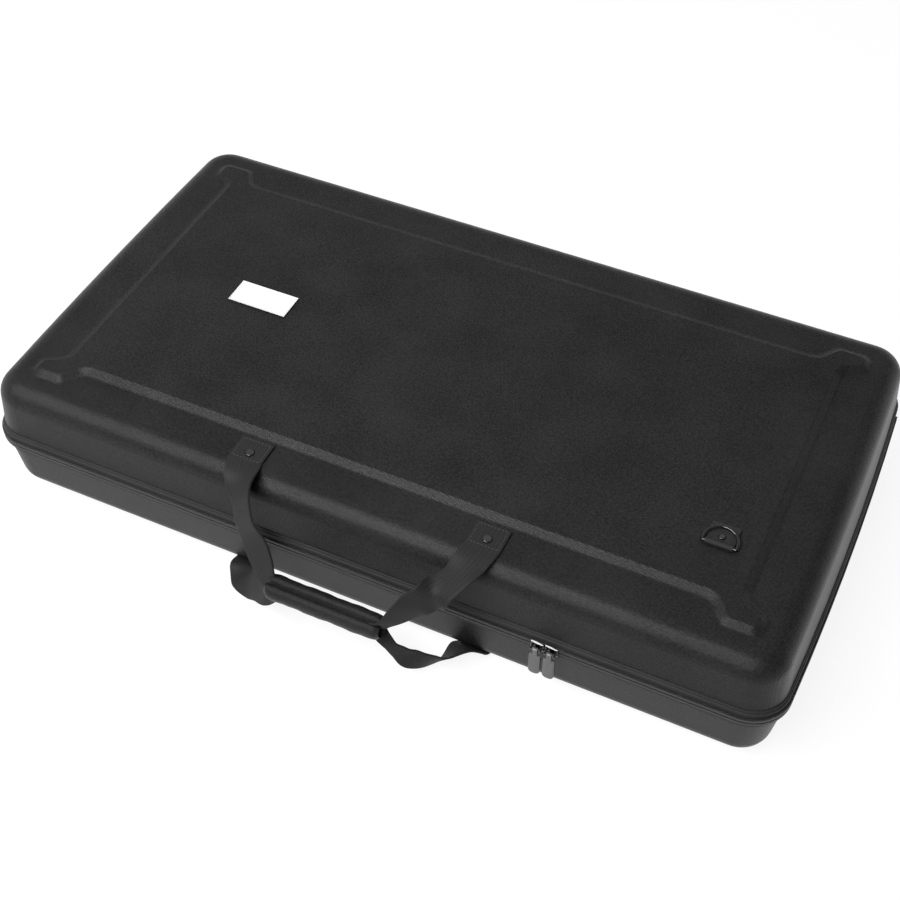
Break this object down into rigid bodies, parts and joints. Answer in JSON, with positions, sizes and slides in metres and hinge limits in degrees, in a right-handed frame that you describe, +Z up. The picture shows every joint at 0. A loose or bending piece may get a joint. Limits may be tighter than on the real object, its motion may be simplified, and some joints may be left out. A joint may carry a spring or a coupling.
{
  "type": "equipment case",
  "caption": "Zip-closed moulded carrying case for a table-top controller, with a hinged lid, foam-lined recess, wrap-around strap handle, sliding zip pulls and a shoulder-strap ring.",
  "frame": {"origin": "middle of the raised underside panel, on the plane the case lies on", "axes": "+X along the case, -Y towards the handle side, +Z up through the lid"},
  "size_m": [0.7958, 0.4898, 0.1473],
  "materials": {
    "shell_cloth": "matt laminated nylon weave over moulded foam board",
    "fleece": "short brushed pile",
    "foam": "open-cell foam",
    "zip_cloth": "fine ribbed tape",
    "zip_coil": "moulded coil",
    "binding": "narrow folded tape",
    "webbing": "woven webbing",
    "wrap": "padded cloth",
    "black_nickel": "polished dark plating",
    "gunmetal": "satin dark grey",
    "label_cloth": "plain woven label"
  },
  "bodies": {
    "base": {"base_shell": "shell_cloth", "base_lining": "fleece", "lower_zip_tape": "zip_cloth", "lower_zip_coil": "zip_coil", "zip_end_stops": "black_nickel", "lower_binding": "binding", "lower_hinge_strip": "webbing", "dust_flap": "fleece", "floor_foam": "foam", "foam_bar_left": "foam", "foam_bar_right": "foam", "foam_bar_front": "foam", "foam_bar_back": "foam", "foam_divider": "foam", "base_strap_tabs": "webbing", "base_rivets": "black_nickel", "base_rivet_washers": "black_nickel"},
    "lid": {"lid_shell": "shell_cloth", "lid_lining": "fleece", "upper_zip_tape": "zip_cloth", "upper_zip_coil": "zip_coil", "upper_binding": "binding", "upper_hinge_strip": "webbing", "lid_foam_pad": "foam", "lid_strap_tabs": "webbing", "lid_rivets": "black_nickel", "lid_rivet_washers": "black_nickel", "d_ring_tab": "webbing", "d_ring_rivet": "black_nickel", "label_patch": "label_cloth"},
    "lid_handle": {"lid_strap_loop": "webbing", "handle_wrap": "wrap"},
    "base_handle": {"base_strap_loop": "webbing"},
    "slider_left": {"slider_left": "black_nickel"},
    "slider_right": {"slider_right": "black_nickel"},
    "pull_left": {"pull_left": "gunmetal"},
    "pull_right": {"pull_right": "gunmetal"},
    "d_ring": {"d_ring": "black_nickel"}
  },
  "joints": [
    {"name": "lid_hinge", "type": "hinge", "parent": "base", "child": "lid", "pos_m": [0, 0.2166, 0.0705], "axis": [-1, 0, 0], "range_deg": [0, 178]},
    {"name": "lid_handle_swing", "type": "hinge", "parent": "lid", "child": "lid_handle", "pos_m": [0, -0.1892, 0.1372], "axis": [-1, 0, 0], "range_deg": [0, 160]},
    {"name": "base_handle_lean", "type": "hinge", "parent": "base", "child": "base_handle", "pos_m": [0, -0.2172, 0.0039], "axis": [1, 0, 0], "range_deg": [0, 16]},
    {"name": "slider_left_slide", "type": "slide", "parent": "base", "child": "slider_left", "axis": [-1, 0, 0], "range_m": [0, 0.529]},
    {"name": "slider_right_slide", "type": "slide", "parent": "base", "child": "slider_right", "axis": [1, 0, 0], "range_m": [0, 0.153]},
    {"name": "pull_left_swing", "type": "hinge", "parent": "slider_left", "child": "pull_left", "pos_m": [0.1815, -0.2225, 0.0705], "axis": [-1, 0, 0], "range_deg": [0, 170]},
    {"name": "pull_right_swing", "type": "hinge", "parent": "slider_right", "child": "pull_right", "pos_m": [0.1945, -0.2225, 0.0705], "axis": [-1, 0, 0], "range_deg": [0, 170]},
    {"name": "d_ring_swing", "type": "hinge", "parent": "lid", "child": "d_ring", "pos_m": [0.296, -0.106, 0.14285], "axis": [1, 0, 0], "range_deg": [0, 162]}
  ]
}
